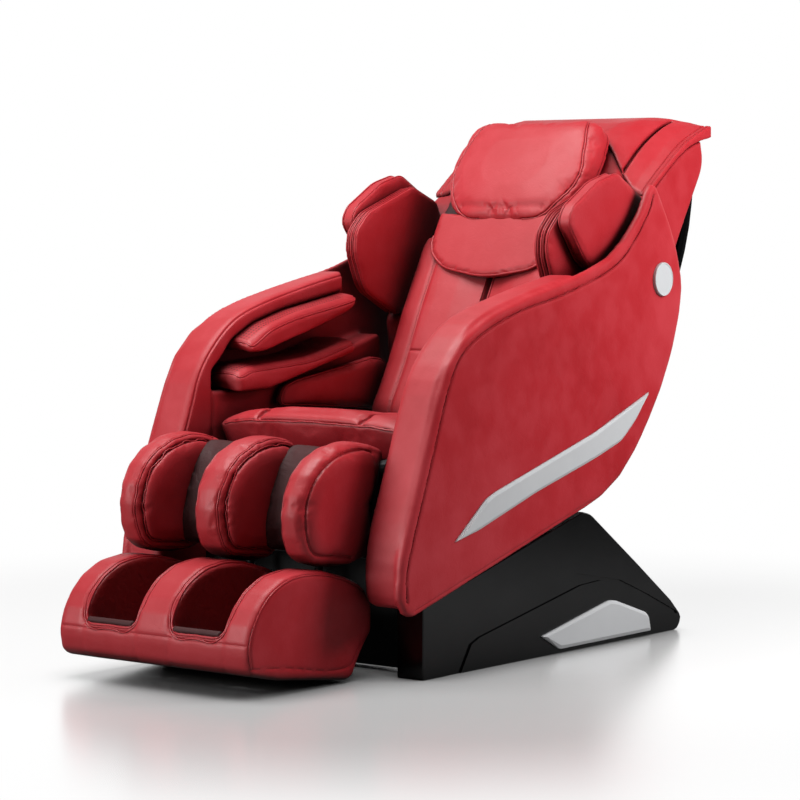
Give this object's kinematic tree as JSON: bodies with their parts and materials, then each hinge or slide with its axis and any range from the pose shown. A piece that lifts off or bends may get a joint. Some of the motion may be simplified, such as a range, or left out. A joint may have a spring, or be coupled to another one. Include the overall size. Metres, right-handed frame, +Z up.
{
  "type": "massage chair",
  "caption": "Reclining massage chair: padded shell arms, back with shoulder pads and pillow, lifting calf and foot rest, on a black wedge base.",
  "frame": {"origin": "centre of the overall bounding box, on the floor", "axes": "+Z up, -Y the way the sitter faces, +X the sitter's left"},
  "size_m": [0.8194, 1.7, 1.2375],
  "materials": {
    "red_leather": "semi-gloss smooth leather",
    "black_gloss": "high gloss",
    "silver_trim": "satin silver",
    "dark_steel": "satin powder coat",
    "pale_nylon": "matt",
    "black_rubber": "matt"
  },
  "bodies": {
    "base": {"base_cheek_left": "black_gloss", "base_cheek_right": "black_gloss", "base_insert_left": "silver_trim", "base_insert_right": "silver_trim", "base_frame": "dark_steel", "power_inlet": "black_gloss"},
    "switch": {"power_switch": "black_rubber"},
    "wheel_left": {"transport_wheel_left": "black_rubber"},
    "wheel_right": {"transport_wheel_right": "black_rubber"},
    "seat": {"seat_frame": "dark_steel", "seat_pan": "dark_steel", "seat_cushion": "red_leather", "air_pump": "black_gloss", "side_panel_left": "red_leather", "side_panel_right": "red_leather", "arm_bolster_left": "red_leather", "arm_bolster_right": "red_leather", "arm_inner_left": "red_leather", "arm_inner_right": "red_leather", "side_trim_left": "silver_trim", "side_trim_right": "silver_trim", "side_disc_left": "silver_trim", "side_disc_right": "silver_trim", "forearm_pad_upper_left": "red_leather", "forearm_pad_upper_right": "red_leather", "forearm_pad_lower_left": "red_leather", "forearm_pad_lower_right": "red_leather", "hip_pad_left": "red_leather", "hip_pad_right": "red_leather"},
    "axle_front": {"roller_axle_front": "dark_steel"},
    "axle_rear": {"roller_axle_rear": "dark_steel"},
    "backrest": {"back_pad": "red_leather", "back_frame": "dark_steel", "back_cover": "black_gloss", "back_top": "red_leather", "top_flap": "red_leather", "back_wing_left": "red_leather", "back_wing_right": "red_leather", "head_pillow": "red_leather", "neck_pad": "red_leather", "shoulder_inner_left": "red_leather", "shoulder_inner_right": "red_leather", "shoulder_outer_left": "red_leather", "shoulder_outer_right": "red_leather"},
    "carriage": {"massage_carriage": "dark_steel"},
    "kneader": {"kneading_shaft": "pale_nylon"},
    "tapper": {"tapping_shaft": "pale_nylon"},
    "legrest": {"leg_frame": "dark_steel", "calf_ridge_left": "red_leather", "calf_ridge_right": "red_leather", "calf_ridge_centre": "red_leather", "calf_channel_left": "red_leather", "calf_channel_right": "red_leather"},
    "footrest": {"foot_frame": "dark_steel", "foot_side_left": "red_leather", "foot_side_right": "red_leather", "foot_divider": "red_leather", "foot_well_left": "red_leather", "foot_well_right": "red_leather"},
    "sole": {"sole_roller": "pale_nylon"}
  },
  "joints": [
    {"name": "seat_slide", "type": "slide", "parent": "base", "child": "seat", "axis": [0, -1, 0], "range_m": [0, 0.15]},
    {"name": "front_axle_roll", "type": "hinge", "parent": "seat", "child": "axle_front", "pos_m": [0, -0.15354, 0.2723], "axis": [1, 0, 0], "range_deg": [0, 400]},
    {"name": "rear_axle_roll", "type": "hinge", "parent": "seat", "child": "axle_rear", "pos_m": [0, 0.19646, 0.2723], "axis": [1, 0, 0], "range_deg": [0, 400]},
    {"name": "backrest_recline", "type": "hinge", "parent": "seat", "child": "backrest", "pos_m": [0, 0.19646, 0.4], "axis": [-1, 0, 0], "range_deg": [0, 45]},
    {"name": "legrest_lift", "type": "hinge", "parent": "seat", "child": "legrest", "pos_m": [0, -0.40354, 0.45], "axis": [-1, 0, 0], "range_deg": [0, 80]},
    {"name": "footrest_extend", "type": "slide", "parent": "legrest", "child": "footrest", "axis": [0, 0, -1], "range_m": [0, 0.12]},
    {"name": "sole_roller_spin", "type": "hinge", "parent": "footrest", "child": "sole", "pos_m": [0, -0.70354, 0.05], "axis": [1, 0, 0], "continuous": true},
    {"name": "carriage_travel", "type": "slide", "parent": "backrest", "child": "carriage", "axis": [0, 0.4679, 0.8838], "range_m": [-0.08, 0.3]},
    {"name": "kneading_spin", "type": "hinge", "parent": "carriage", "child": "kneader", "pos_m": [0, 0.33676, 0.63537], "axis": [1, 0, 0], "continuous": true},
    {"name": "tapping_spin", "type": "hinge", "parent": "carriage", "child": "tapper", "pos_m": [0, 0.3494, 0.67846], "axis": [1, 0, 0], "continuous": true},
    {"name": "power_switch_rock", "type": "hinge", "parent": "base", "child": "switch", "pos_m": [0.062, 0.53976, 0.03], "axis": [-1, 0, 0], "range_deg": [0, 14]},
    {"name": "wheel_left_spin", "type": "hinge", "parent": "base", "child": "wheel_left", "pos_m": [0.287, 0.56646, 0.04], "axis": [1, 0, 0], "continuous": true},
    {"name": "wheel_right_spin", "type": "hinge", "parent": "base", "child": "wheel_right", "pos_m": [-0.287, 0.56646, 0.04], "axis": [1, 0, 0], "continuous": true}
  ],
  "couplings": [
    {"joint": "front_axle_roll", "follows": "seat_slide", "rad_per_m": 45.455},
    {"joint": "rear_axle_roll", "follows": "seat_slide", "rad_per_m": 45.455},
    {"joint": "footrest_extend", "follows": "legrest_lift", "m_per_rad": 0.0855}
  ]
}
